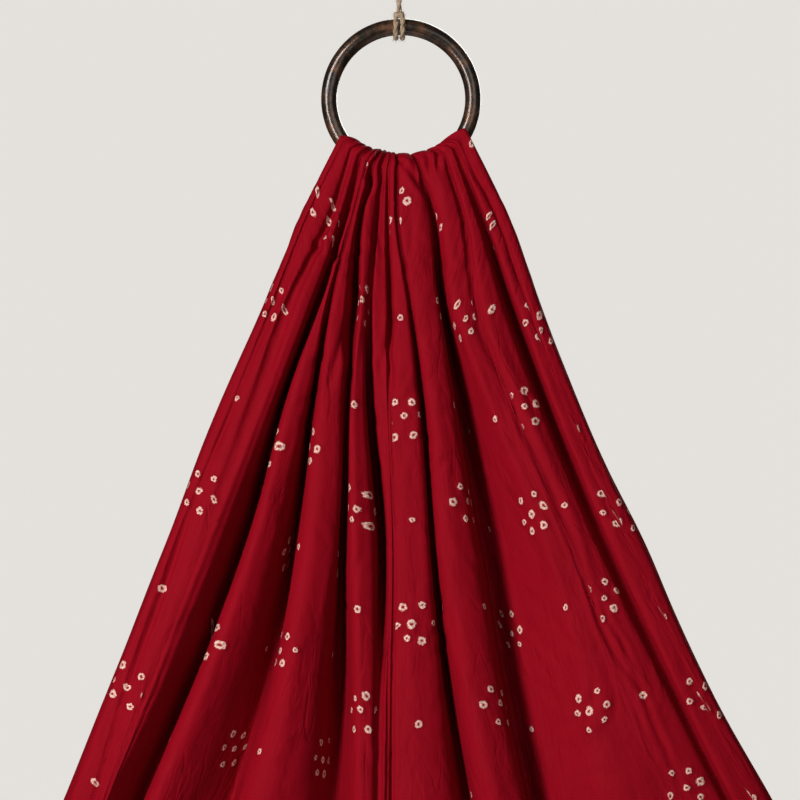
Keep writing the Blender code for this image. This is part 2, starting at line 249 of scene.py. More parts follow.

# Creases on the front, as seen in the ring's plane: depth, half width, then points
# across and down
creases = (
    (1.0, 2.2, (41, 121), (50, 145), (62, 169), (71, 193), (83, 217), (94, 241), (104, 265), (116, 301)),
    (1.3, 1.8, (112, 290), (118, 312), (131, 337), (144, 353), (151, 373), (167, 409), (176, 436)),
    (1.0, 1.6, (120, 300), (124, 313), (133, 326), (143, 349)),
    (-0.8, 3.0, (46, 122), (56, 145), (68, 169), (78, 193), (90, 217), (101, 241), (111, 265)),
    (1.0, 1.8, (34, 31), (41, 40), (52, 58), (55, 64)),
    (0.9, 1.8, (64, 88), (66, 95), (71, 110)),
    (1.0, 2.0, (-62, 92), (-69, 109), (-80, 136)),
    (0.8, 2.0, (-98, 182), (-105, 196), (-114, 215)),
    (1.2, 1.5, (-128, 250), (-137, 278), (-144, 299), (-151, 317), (-158, 336), (-163, 352)),
    (1.6, 1.8, (0, 36), (4, 41), (8, 47), (13, 55)),
    (1.4, 2.0, (7, 34), (10, 46), (17, 58)),
    (1.0, 3.5, (5, 55), (6, 76), (7, 97)),
    (1.0, 2.0, (-4, 125), (-7, 143), (-9, 151), (-14, 166)),
    (0.8, 1.8, (-7, 155), (-4, 179)),
    (1.0, 1.7, (-15, 345), (-15, 375), (-15, 420), (-16, 450)),
    (0.9, 1.7, (-7, 350), (-7, 385), (-7, 420), (-6, 450)),
    (0.9, 2.2, (-72, 341), (-58, 347), (-46, 347), (-34, 343)),
    (0.9, 2.2, (-83, 388), (-61, 386), (-43, 380)),
    (0.7, 2.0, (-116, 300), (-125, 310), (-133, 323)),
    (0.7, 2.0, (-127, 306), (-136, 320), (-141, 330)),
    (2.6, 1.8, (16, 30), (17, 36), (17, 44)),
    (2.6, 1.8, (21, 28), (22, 34), (22, 42)),
    (2.2, 1.8, (-1, 31), (0, 40)),
    (2.0, 1.8, (-19, 38), (-19, 52), (-21, 61)),
    (1.4, 1.8, (-19, 46), (-16, 61)),
    (1.8, 2.2, (-53, 83), (-50, 88), (-47, 94)),
    (1.0, 2.0, (-40, 90), (-37, 101)),
    (1.2, 2.2, (-32, 132), (-36, 150), (-45, 175)),
    (-1.0, 3.0, (-26, 128), (-30, 150), (-37, 175)),
    (1.2, 2.4, (118, 352), (112, 366), (98, 380)),
    (-0.9, 3.5, (125, 356), (119, 372), (104, 388)),
    (0.9, 2.4, (96, 322), (104, 330), (118, 334)),
    (0.9, 2.4, (104, 408), (118, 404), (134, 410)),
)
# Small chance wrinkles, and the slow unevenness of hung cloth
wrinkles = {
    "seed": 11,
    "count": 170,
    "length": (7.0, 26.0),
    "depth": (0.25, 0.7),
    "halfWidth": (1.5, 2.6),
    "slant": (12, 65),
    "shoulder": 0.4,
    "slowSize": (26.0, 70.0),
    "slowHeight": 1.1,
    "pleatSize": (7.0, 60.0),
    "pleatHeight": 0.3,
    "gatherSize": (5.0, 55.0),
    "gatherHeight": 0.4,
    # Drops at which the unevenness and the gathers come in and go
    "slowDrops": (42.0, 102.0),
    "gatherDrops": (38.0, 50.0, 60.0, 130.0),
    "drops": (75, 470),
    "spread": 0.44,
}

# Bandhani pattern, in mm: clusters of seven tied dots and single dots, by turns
pattern = {
    "cell": (50.0, 60.6),
    "start": (0.0, -176.0),
    "spacing": 10.6,
    "jitter": 3.4,
    "outer": 2.05,
    "inner": 0.8,
    "wobble": 2.6,
    "edge": 0.3,
    "creep": 2.2,
    "speckEdge": 0.4,
}


def linear(hexColour, alpha=1.0):
    parts = [int(hexColour[k : k + 2], 16) / 255 for k in (1, 3, 5)]
    parts = [c / 12.92 if c <= 0.04045 else ((c + 0.055) / 1.055) ** 2.4 for c in parts]
    return (*parts, alpha)


def addNode(tree, kind, settings=None, links=None):
    # Settings are inputs or properties, and a node that is linked gives its first output
    node = tree.nodes.new("ShaderNode" + kind)
    for key, value in (settings or {}).items():
        if isinstance(key, int) or key in node.inputs:
            node.inputs[key].default_value = value
        else:
            setattr(node, key, value)
    for key, source in (links or {}).items():
        socket = source.outputs[0] if isinstance(source, bpy.types.Node) else source
        tree.links.new(socket, node.inputs[key])
    return node


def addRamp(tree, source, stops):
    # Colours by their place on the ramp, from the first to the last
    ramp = addNode(tree, "ValToRGB", {}, {"Fac": source})
    for element, (place, colour) in zip(ramp.color_ramp.elements, (stops[0], stops[-1])):
        element.position = place
        element.color = linear(colour)
    for place, colour in stops[1:-1]:
        ramp.color_ramp.elements.new(place).color = linear(colour)
    return ramp


def newMaterial(name, constants):
    material = bpy.data.materials.new(name)
    material.use_nodes = True
    shader = material.node_tree.nodes["Principled BSDF"]
    for key, value in constants.items():
        shader.inputs[key].default_value = value
    return material, material.node_tree, shader


def addObject(name, mesh, material):
    made = bpy.data.objects.new(name, mesh)
    bpy.context.scene.collection.objects.link(made)
    made.data.materials.append(material)
    mesh.shade_smooth()
    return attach(made, "root")


# Camera
def makeCamera():
    half = picture["side"] / 2
    across, down = picture["ringPixel"]
    camera = bpy.data.objects.new("camera", bpy.data.cameras.new("camera"))
    bpy.context.scene.collection.objects.link(camera)
    camera.location = (
        ringCentre[0] + (half - across) * picture["pixel"],
        ringCentre[1] - picture["distance"],
        ringCentre[2] + (down - half) * picture["pixel"],
    )
    camera.rotation_euler = (math.pi / 2, 0, 0)
    camera.data.sensor_width = picture["sensor"]
    shown = picture["side"] * picture["pixel"]
    camera.data.lens = picture["sensor"] * picture["distance"] / shown
    bpy.context.scene.camera = camera


makeCamera()
print("camera made")


# Jute twine
def smoothLine(points, spacing):
    # Catmull-Rom curve through the points, at an even spacing in mm
    points = np.asarray(points, float)
    net = np.vstack([2 * points[0] - points[1], points, 2 * points[-1] - points[-2]])
    t = np.linspace(0, 1, 24, endpoint=False)[:, None]
    pieces = []
    for k in range(len(points) - 1):
        a, b, c, d = net[k : k + 4]
        inner = 2 * b + (c - a) * t + (2 * a - 5 * b + 4 * c - d) * t**2
        pieces.append(0.5 * (inner + (3 * b - a - 3 * c + d) * t**3))
    line = np.vstack(pieces + [points[-1:]])
    along = np.concatenate([[0], np.cumsum(np.linalg.norm(np.diff(line, axis=0), axis=1))])
    places = np.linspace(0, along[-1], max(2, round(along[-1] / spacing) + 1))
    return np.column_stack([np.interp(places, along, line[:, k]) for k in range(3)])


def lineFrames(line):
    # Two directions across the line at each point, turned as little as possible
    along = np.gradient(line, axis=0)
    along /= np.linalg.norm(along, axis=1)[:, None]
    side = np.cross(along[0], (0, 1, 0) if abs(along[0][1]) < 0.8 else (1, 0, 0))
    sides = []
    for direction in along:
        side = side - direction * (side @ direction)
        side /= np.linalg.norm(side)
        sides.append(side)
    sides = np.array(sides)
    return sides, np.cross(along, sides)


def addTube(form, line, radii, sides, uvLayer):
    # A closed tube from a rolled-up grid, with its length and turn in the UV layer
    steps = len(line)
    across, other = lineFrames(line)
    verts = bmesh.ops.create_grid(form, x_segments=sides, y_segments=steps - 1, size=0.5)["verts"]
    places = {}
    for vert in verts:
        turn = round((vert.co.x + 0.5) * sides)
        row = round((vert.co.y + 0.5) * (steps - 1))
        angle = 2 * math.pi * turn / sides
        offset = across[row] * math.cos(angle) + other[row] * math.sin(angle)
        vert.co = (line[row] + offset * radii[row]) * mm + ringCentre
        places[vert] = (turn / sides, row / (steps - 1))
    length = np.linalg.norm(np.diff(line, axis=0), axis=1).sum() * mm
    width = 2 * math.pi * max(radii) * mm
    for face in {face for vert in verts for face in vert.link_faces}:
        for loop in face.loops:
            turn, row = places[loop.vert]
            loop[uvLayer].uv = (turn * width, row * length)
    bmesh.ops.remove_doubles(form, verts=verts, dist=1e-7)
    rims = [edge for edge in form.edges if edge.is_boundary]
    bmesh.ops.holes_fill(form, edges=rims, sides=sides)


def addHairs(form, line, radius, count, reach, seed, uvLayer):
    # Loose jute fibres that leave the strand at a slant and curl
    chance = random.Random(seed)
    across, other = lineFrames(line)
    for _ in range(count):
        at = chance.randrange(2, len(line) - 2)
        angle = chance.uniform(0, 2 * math.pi)
        out = across[at] * math.cos(angle) + other[at] * math.sin(angle)
        along = line[at + 1] - line[at]
        along = along / np.linalg.norm(along) * chance.choice((-1, 1))
        bend = np.cross(along, out) * chance.uniform(-1, 1)
        length = chance.uniform(1.5, 4.5)
        rise = chance.uniform(0.3, 1.0) * reach
        hair = []
        for k in range(6):
            t = k / 5
            hair.append(
                line[at] + out * (radius * 0.9 + rise * t**1.4)
                + along * length * t + bend * length * 0.4 * t * t
            )
        addTube(form, np.array(hair), np.linspace(0.07, 0.03, 6), 3, uvLayer)


def makeTwine(name, points, plyRadius, plyOffset, pitch, seed, material):
    line = smoothLine(points, twine["step"])
    across, other = lineFrames(line)
    along = np.linspace(0, 1, len(line)) * np.linalg.norm(np.diff(line, axis=0), axis=1).sum()
    form = bmesh.new()
    uvLayer = form.loops.layers.uv.new("strand")
    for ply in range(2):
        angle = 2 * math.pi * along / pitch + math.pi * ply
        offset = across * np.cos(angle)[:, None] + other * np.sin(angle)[:, None]
        spots = [Vector((s / twine["unevenLength"], seed + ply * 7.0, 0)) for s in along]
        radii = plyRadius * np.array([1 + twine["uneven"] * noise.noise(spot) for spot in spots])
        addTube(form, line + offset * plyOffset, radii, twine["plySides"], uvLayer)
    addHairs(form, line, plyRadius + plyOffset, twine["hairs"][name], twine["hairReach"], seed, uvLayer)
    mesh = bpy.data.meshes.new(name)
    form.to_mesh(mesh)
    form.free()
    return addObject(name, mesh, material), line


juteLook = {
    "fibreSlant": 0.55,
    "fibres": (6000, 420, 1),  # to a metre, round the strand and along it
    "fibreShare": 0.7,
    "patches": 420.0,
    "patchShare": 0.4,
    "tones": ((0.3, "#6B543B"), (0.78, "#E0C2A0")),
    "relief": 0.3 * mm,
}


def juteMaterial():
    # Jute: bast fibres spun into a hard, hairy yarn, dull with a faint silky gleam
    material, tree, shader = newMaterial(
        "spun jute fibre", {"Roughness": 0.78, "Sheen Weight": 0.25, "Sheen Roughness": 0.5}
    )
    strand = addNode(tree, "UVMap", {"uv_map": "strand"})
    lay = {"Rotation": (0, 0, juteLook["fibreSlant"]), "Scale": juteLook["fibres"]}
    slanted = addNode(tree, "Mapping", lay, {"Vector": strand})
    fibres = addNode(tree, "TexNoise", {"Scale": 1.0, "Detail": 3.0, "Roughness": 0.6}, {"Vector": slanted})
    place = addNode(tree, "TexCoord").outputs["Object"]
    patches = addNode(tree, "TexNoise", {"Scale": juteLook["patches"], "Detail": 2.0}, {"Vector": place})
    tone = addNode(tree, "Math", {"operation": "MULTIPLY", 1: juteLook["patchShare"]}, {0: patches})
    mixing = {"operation": "MULTIPLY_ADD", 1: juteLook["fibreShare"]}
    tone = addNode(tree, "Math", mixing, {0: fibres, 2: tone})
    ramp = addRamp(tree, tone, juteLook["tones"])
    tree.links.new(ramp.outputs["Color"], shader.inputs["Base Color"])
    bump = addNode(tree, "Bump", {"Strength": 1.0, "Distance": juteLook["relief"]}, {"Height": fibres})
    tree.links.new(bump.outputs["Normal"], shader.inputs["Normal"])
    return material


def hitchPoints():
    # Lark's head: up the left tail's back, under the ring, over the arch, and back
    half = [
        (-twine["tailApart"], twine["tailBack"], twine["tailHeight"]),
        (-twine["tailApart"], 3.5, 50.3),
    ]
    for degrees in range(135, 391, 15):
        angle = math.radians(degrees)
        share = min(1, (degrees - 135) / 60)
        x = -twine["tailApart"] - (twine["legApart"] - twine["tailApart"]) * share
        reach = twine["hitchRadius"]
        half.append((x, -reach * math.cos(angle), ringBar["radius"] + reach * math.sin(angle)))
    half.append((-twine["legApart"], -5.35, 48.3))
    half.append((-1.3, -twine["archForward"], twine["archHeight"] - 0.35))
    mirrored = [(-x, y, z) for x, y, z in reversed(half)]
    return half + [(0, -twine["archForward"], twine["archHeight"])] + mirrored


def cordPoints():
    # The taut standing pair, from the hitch's tails up to the knot
    bottom, top = twine["cordBottom"], twine["cordTop"]
    points = [(0, twine["tailBack"] - 0.4, bottom), (0, 1.0, bottom + 2), (0, 0.4, bottom + 4.5)]
    first = bottom + 8
    return points + [(0, 0, first + (top - first) * k / 6) for k in range(7)]


def knotPoints():
    # Three close turns round the standing pair
    reach, half = twine["knotReach"], twine["knotHalfHeight"]
    points = []
    for k in range(31):
        turn = 2 * math.pi * k / 10
        height = twine["knotHeight"] + half * (k / 15 - 1)
        points.append((reach * math.cos(turn), reach * math.sin(turn), height))
    return points


def loopPoints(steps=26):
    points = []
    for k in range(steps + 1):
        turn = twine["loopStart"] + (2 * math.pi - 2 * twine["loopStart"]) * k / steps
        x = -twine["loopWidth"] * math.sin(turn) * math.sin(turn / 2) ** 1.2
        points.append((x, 0, twine["loopCentre"] - twine["loopHalfHeight"] * math.cos(turn)))
    return points


def shifted(points):
    return [(x + twine["x"], y, z) for x, y, z in points]


def makeTwines():
    jute = juteMaterial()
    thin = (twine["plyRadius"], twine["plyOffset"], twine["plyPitch"])
    hitch, _ = makeTwine("twineHitch", shifted(hitchPoints()), *thin, 1, jute)
    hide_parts("twine_hitch")
    taut = (twine["cordPlyRadius"], twine["cordPlyOffset"], twine["cordPitch"])
    cord, line = makeTwine("twineCord", shifted(cordPoints()), *taut, 2, jute)
    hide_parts("twine_cord")
    knot, _ = makeTwine("twineKnot", shifted(knotPoints()), *thin, 3, jute)
    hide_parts("twine_knot")
    loop, _ = makeTwine("twineLoop", shifted(loopPoints()), *thin, 4, jute)
    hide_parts("twine_loop")


makeTwines()
print("twine made")


# Cloth
def section(station, shares, leastDepth):
    i = stations.index(station)
    heights = [crowns[station] * share for share in shares]
    rows = list(valleys.values())
    lips = [(across[i] - mouth[i] / 2, across[i] + mouth[i] / 2) for across, mouth, _, _ in rows]
    starts = [leftEdge[i]] + [right for _, right in lips]
    ends = [left for left, _ in lips] + [rightEdge[i]]
    depths = [max(row[2][i], leastDepth) for row in rows]
    levels = [(a + b) / 2 for a, b in zip(heights, heights[1:])]
    # A ridge leans towards its neighbour where no valley parts them
    leans = [(1 - depth) * cloth["ridgeLean"] for depth in depths]
    leftHeights = heights[:1]
    leftHeights += [h + (level - h) * lean for h, level, lean in zip(heights[1:], levels, leans)]
    rightHeights = [h + (level - h) * lean for h, level, lean in zip(heights, levels, leans)]
    rightHeights += heights[-1:]
    rightHeights = [h * (1 - tilts[station] * d) for h, d in zip(rightHeights, depths + [0])]

    curl = cloth["edgeCurls"][0] * heights[0]
    step = cloth["edgeStep"] * (ends[0] - starts[0])
    points = [(starts[0], curl), (starts[0] + step, (curl + heights[0]) / 2)]
    for k, (depth, lean) in enumerate(zip(depths, [row[3] for row in rows])):
        left, right = lips[k]
        half = (right - left) / 2
        span = ends[k] - starts[k]
        points.append((starts[k] + span * 0.33, leftHeights[k]))
        points.append((starts[k] + span * 0.67, rightHeights[k]))

        floorHalf = min(cloth["floorHalf"], 0.7 * half)
        middle = (left + right) / 2 + lean * half * depth
        level = levels[k]
        lipHeights = []
        for side in (k, k + 1):
            droop = min(lipRounds[station] * (ends[side] - starts[side]), cloth["lipRoundMost"])
            lipHeights.append(level + depth * (heights[side] - level - droop))
        floor = [height + depth * (floors[station] - height) for height in lipHeights]
        points.append((left, lipHeights[0]))
        points.append(((left + middle - floorHalf) / 2, (lipHeights[0] + floor[0]) / 2))
        points.append((middle - floorHalf, floor[0]))
        points.append((middle + floorHalf, floor[1]))
        points.append(((right + middle + floorHalf) / 2, (lipHeights[1] + floor[1]) / 2))
        points.append((right, lipHeights[1]))
    span = ends[-1] - starts[-1]
    points.append((starts[-1] + span * 0.33, leftHeights[-1]))
    points.append((starts[-1] + span * 0.67, rightHeights[-1]))
    curl = cloth["edgeCurls"][1] * heights[-1]
    step = cloth["edgeStep"] * span
    points += [(ends[-1] - step, (curl + heights[-1]) / 2), (ends[-1], curl)]
    return np.array(points)


frontSections = np.array([section(station, ridges, 0) for station in stations])
backSections = np.array([section(station, backRidges, cloth["backLeastDepth"]) for station in stations])
controls = frontSections.shape[1]
perRidge = 8  # control points from one ridge to the next


def smoothBetween(knots, values, at):
    # Smooth curve through values at rising knots, one curve for each control column
    span = np.diff(knots, axis=0)
    slope = np.diff(values, axis=0) / span
    inner = (slope[:-1] * span[1:] + slope[1:] * span[:-1]) / (span[:-1] + span[1:])
    tangent = np.vstack([slope[:1], inner, slope[-1:]])
    k = np.clip((knots <= at).sum(axis=0) - 1, 0, len(knots) - 2)
    column = np.arange(values.shape[1])
    width = span[k, column]
    t = (at - knots[k, column]) / width
    low, high = values[k, column], values[k + 1, column]
    lowSlope, highSlope = tangent[k, column] * width, tangent[k + 1, column] * width
    inside = (
        low * (1 + 2 * t) * (1 - t) ** 2
        + lowSlope * t * (1 - t) ** 2
        + high * t * t * (3 - 2 * t)
        + highSlope * t * t * (t - 1)
    )
    return np.where(t > 1, high + highSlope * (t - 1), inside)


def wrapRow(turn):
    # Control points of a row round the ring: turn 0 is its front and 1 is its back
    across = np.clip(frontSections[0, :, 0] / ringBar["radius"], -0.99, 0.99)
    front = -np.arccos(across)
    share = (front - front[0]) / (front[-1] - front[0])
    top = cloth["saddleLeft"] + (cloth["saddleRight"] - cloth["saddleLeft"]) * share
    rise, face = math.sin(turn * math.pi), math.cos(turn * math.pi)
    narrow = 1 if turn <= 0.5 else 1 + (cloth["backWidth"] - 1) * face * face
    angle = top + (-math.pi / 2 + (front + math.pi / 2) * narrow - top) * face * face

    lift = (frontSections[0, :, 1] - floors["ring"]) / (crowns["ring"] - floors["ring"])
    heap = cloth["saddleHeap"] * np.cos(np.linspace(-1, 1, controls) * math.pi / 2) ** 2
    saddle = cloth["saddleCrown"] + heap - cloth["saddleNotch"] * (1 - np.clip(lift, 0, 1))
    sections = frontSections if turn <= 0.5 else backSections
    forward = np.maximum(sections[0, :, 1], cloth["ringFloor"])
    reach = saddle * rise * rise + forward * face * face
    fromCentre = ringBar["radius"] - reach * rise
    return np.column_stack([fromCentre * np.cos(angle), -reach * face, fromCentre * np.sin(angle)])


def sway(x, drop):
    # Both drops hang back together a little, so that they don't lie in one plane
    grown = np.clip((drop - cloth["swayStart"]) / (cloth["swayFull"] - cloth["swayStart"]), 0, 1) ** 2
    return cloth["sway"] * grown * (np.sin(drop / 85 + 0.6) + np.sin(x / 60 + drop / 140))


def dropRow(share, side):
    # Control points of a row down a drop: share runs from ring to hem, side is -1 or 1
    start = wrapRow(0 if side < 0 else 1)
    sections = frontSections if side < 0 else backSections
    width = 1 if side < 0 else cloth["backWidth"]
    below = np.array([[drops[station]] * controls for station in stations[1:]])
    knots = np.vstack([-start[:, 2], below])
    across = np.vstack([start[:, 0], sections[1:, :, 0] * width])
    forward = np.vstack([start[:, 1] * side, sections[1:, :, 1]])
    hem = cloth["hemDrop"] - cloth["hemRise"] * (frontSections[-1, :, 0] / cloth["hemHalfWidth"]) ** 2
    hem = hem * (1 if side < 0 else cloth["backDrop"])
    drop = knots[0] + (hem - knots[0]) * share
    x = smoothBetween(knots, across, drop)
    y = smoothBetween(knots, forward, drop) * side
    return np.column_stack([x, y + sway(x, drop), -drop])


def rounded(row, places):
    # Points of a cubic B-spline through a row of control points, at places along it
    net = np.vstack([2 * row[:1] - row[1:2], row, 2 * row[-1:] - row[-2:-1]])
    k = np.clip(np.floor(places).astype(int), 0, controls - 2)
    t = (places - k)[:, None]
    weights = (
        (1 - t) ** 3 / 6,
        (3 * t**3 - 6 * t * t + 4) / 6,
        (-3 * t**3 + 3 * t * t + 3 * t + 1) / 6,
        t**3 / 6,
    )
    return sum(weight * net[k + step] for step, weight in enumerate(weights))


def arcLengths(line):
    return np.concatenate([[0], np.cumsum(np.linalg.norm(np.diff(line, axis=0), axis=1))])


def columnPlaces():
    # Columns lie closer where the cloth's length across it is longer, at any station
    fine = np.linspace(0, controls - 1, 4001)
    shares = [fine / fine[-1]]
    for share in (0.02, 0.1, 0.2, 0.35, 0.5, 0.7, 1):
        arc = arcLengths(rounded(dropRow(share, -1), fine))
        shares.append(arc / arc[-1])
    return np.interp(np.linspace(0, 1, cloth["columns"]), np.mean(shares, axis=0), fine)


def drapedGrid(places):
    # Points of the cloth, rows from the front hem over the ring to the back hem
    spread = cloth["rowSpread"]
    front = [dropRow((k / cloth["frontRows"]) ** spread, -1) for k in range(cloth["frontRows"], 0, -1)]
    wrap = [wrapRow(k / cloth["wrapRows"]) for k in range(cloth["wrapRows"] + 1)]
    back = [dropRow((k / cloth["backRows"]) ** spread, 1) for k in range(1, cloth["backRows"] + 1)]
    return np.array([rounded(row, places) for row in front + wrap + back])


def flatPlaces(grid, places):
    # Each point's place on the flat cloth, across by its threads and along from the ring, and
    # how closely its threads are tucked. What a row has no room for is tucked into its valleys.
    steps = np.linalg.norm(np.diff(grid, axis=1), axis=2)
    between = (places[1:] + places[:-1]) / 2
    share = np.interp(-grid[:, :, 2].mean(axis=1), cloth["tuckDrops"], cloth["tuckShares"])
    middles = [perRidge * k + 2.5 for k in range(len(ridges))]
    flat = steps.copy()
    for k, middle in enumerate(middles[:-1]):
        inside = (between >= middle) & (between < middles[k + 1])
        room = steps[:, inside].sum(axis=1)
        over = (ridgeThreads[k + 1] - ridgeThreads[k] - room) * share
        valley = steps[:, inside] * np.exp(-(((between[inside] - middle - 4) / cloth["tuckWidth"]) ** 2))
        valley /= valley.sum(axis=1)[:, None]
        flat[:, inside] *= (1 + np.minimum(over, 0) / room)[:, None]
        flat[:, inside] += np.maximum(over, 0)[:, None] * valley
    across = np.hstack([np.zeros((len(grid), 1)), np.cumsum(flat, axis=1)])
    centre = np.abs(places - middles[ridgeThreads.index(0)]).argmin()
    across -= across[:, centre : centre + 1]
    tuck = np.clip(flat / steps - 1.6, 0, 1)
    tuck = np.hstack([tuck[:, :1], np.maximum(tuck[:, 1:], tuck[:, :-1]), tuck[:, -1:]])

    steps = np.linalg.norm(np.diff(grid, axis=0), axis=2)
    along = np.vstack([np.zeros(grid.shape[1]), np.cumsum(steps, axis=0)])
    along -= along[cloth["frontRows"] + cloth["wrapRows"] // 2]
    tuck = np.maximum(tuck, np.clip(2 - np.abs(along) / cloth["crestBare"], 0, 1))
    ridgeEnds = [perRidge * k + end for k in range(len(ridges)) for end in (-0.7, 5.7)]
    return across, along + np.interp(places, ridgeEnds, np.repeat(ridgeSlips, 2)), tuck


def outward(grid):
    # Unit normals of the grid, away from the ring
    normals = np.cross(np.gradient(grid, axis=0), np.gradient(grid, axis=1))
    normals /= np.linalg.norm(normals, axis=2)[:, :, None]
    return normals if normals[0, :, 1].mean() < 0 else -normals


def creaseHeight(x, drop, depth, halfWidth, points):
    # A trough with low shoulders along a line, fading at both ends
    height = np.zeros(x.shape)
    reach = 5 * halfWidth
    line = np.array(points, float)
    near = (x > line[:, 0].min() - reach) & (x < line[:, 0].max() + reach)
    near &= (drop > line[:, 1].min() - reach) & (drop < line[:, 1].max() + reach)
    spots = np.column_stack([x[near], drop[near]])
    lengths = np.linalg.norm(np.diff(line, axis=0), axis=1)
    best = np.full(len(spots), 1e9)
    place = np.zeros(len(spots))
    for k, length in enumerate(lengths):
        step = (line[k + 1] - line[k]) / length
        along = np.clip((spots - line[k]) @ step, 0, length)
        away = np.linalg.norm(spots - line[k] - along[:, None] * step, axis=1)
        closer = away < best
        best[closer] = away[closer]
        place[closer] = (lengths[:k].sum() + along[closer]) / lengths.sum()
    fade = np.sin(np.clip(place, 0.02, 0.98) * math.pi) ** 0.5
    trough = np.exp(-((best / halfWidth) ** 2))
    shoulder = np.exp(-((best / halfWidth - 2.1) ** 2))
    height[near] = depth * fade * (wrinkles["shoulder"] * shoulder - trough)
    return height


def noiseHeight(across, along, size, seed):
    # Smooth chance heights from -1 to 1, with bumps of that size across and along
    spots = np.column_stack([across.ravel() / size[0], along.ravel() / size[1]])
    return np.array([noise.noise(Vector((u, v, seed))) for u, v in spots]).reshape(across.shape)


def crumpled(grid, across, along):
    # The draped grid with its creases, wrinkles and small pleats
    normals = outward(grid)
    drop = -grid[:, :, 2]
    below = np.interp(drop, wrinkles["slowDrops"], (0, 1))
    height = wrinkles["slowHeight"] * below * noiseHeight(across, along, wrinkles["slowSize"], 1.5)
    height += wrinkles["pleatHeight"] * below * noiseHeight(across, along, wrinkles["pleatSize"], 4.5)
    gather = np.interp(drop, wrinkles["gatherDrops"], (0, 1, 1, 0))
    rows = noiseHeight(across, along, wrinkles["gatherSize"], 8.5)
    height += wrinkles["gatherHeight"] * gather * np.maximum(rows, -0.4)

    front = slice(0, cloth["frontRows"] + 4)
    back = slice(cloth["frontRows"] + cloth["wrapRows"], len(grid))
    middle = (picture["side"] / 2 - np.array(picture["ringPixel"])) * picture["pixel"] / mm
    nearer = picture["distance"] / (picture["distance"] + grid[front, :, 1] * mm)
    seenX = middle[0] + (grid[front, :, 0] - middle[0]) * nearer
    seenDrop = middle[1] + (drop[front] - middle[1]) * nearer
    for depth, halfWidth, *points in creases:
        height[front] += creaseHeight(seenX, seenDrop, depth, halfWidth, points)
    chance = random.Random(wrinkles["seed"])
    for k in range(wrinkles["count"]):
        side = front if k % 3 else back
        y = chance.uniform(*wrinkles["drops"])
        x = chance.uniform(-wrinkles["spread"], wrinkles["spread"]) * y
        slant = math.radians(chance.uniform(*wrinkles["slant"])) * chance.choice((-1, 1))
        length = chance.uniform(*wrinkles["length"])
        bend = chance.uniform(-0.2, 0.2) * length
        points = [(x, y)]
        points.append((x + length / 2 * math.sin(slant) + bend, y + length / 2 * math.cos(slant)))
        points.append((x + length * math.sin(slant), y + length * math.cos(slant)))
        depth = chance.uniform(*wrinkles["depth"])
        halfWidth = chance.uniform(*wrinkles["halfWidth"])
        height[side] += creaseHeight(grid[side, :, 0], drop[side], depth, halfWidth, points)
    return grid + normals * height[:, :, None]


def hemmed(grid, across, along, tuck):
    # A narrow hem at both ends, turned to the inside
    inside = -outward(grid) * cloth["hemGap"]
    pieces = [[grid[2] + 2 * inside[2], grid[1] + 2 * inside[1], grid[0] + inside[0]], grid]
    pieces.append([grid[-1] + inside[-1], grid[-2] + 2 * inside[-2], grid[-3] + 2 * inside[-3]])
    turn = cloth["hemGap"]
    across = np.vstack([across[:1]] * 3 + [across] + [across[-1:]] * 3)
    tuck = np.vstack([tuck[:1]] * 3 + [tuck] + [tuck[-1:]] * 3)
    starts = [2 * along[0] - along[2] - turn, 2 * along[0] - along[1] - turn, along[0] - turn]
    ends = [along[-1] + turn, 2 * along[-1] - along[-2] + turn, 2 * along[-1] - along[-3] + turn]
    return np.vstack(pieces), across, np.vstack([starts, along, ends]), tuck


# The cloth's looks: dyes, and relief in mm
dyed = {
    "reds": ("#92061A", "#850515"),
    "slubRed": "#A21626",
    "undyed": "#F4CBBB",
    "pucker": 0.7,
    "puckerReach": 5.0,
    "softHeight": 2.6,
    "creaseLines": ((0.5, 0.036, 0.26), (-0.6, 0.05, 0.18), (0.1, 0.11, 0.08)),  # slant, scale, depth
    "creaseWidth": 0.035,
    "threadScale": 0.9,
    "threadHeight": 0.012,
}


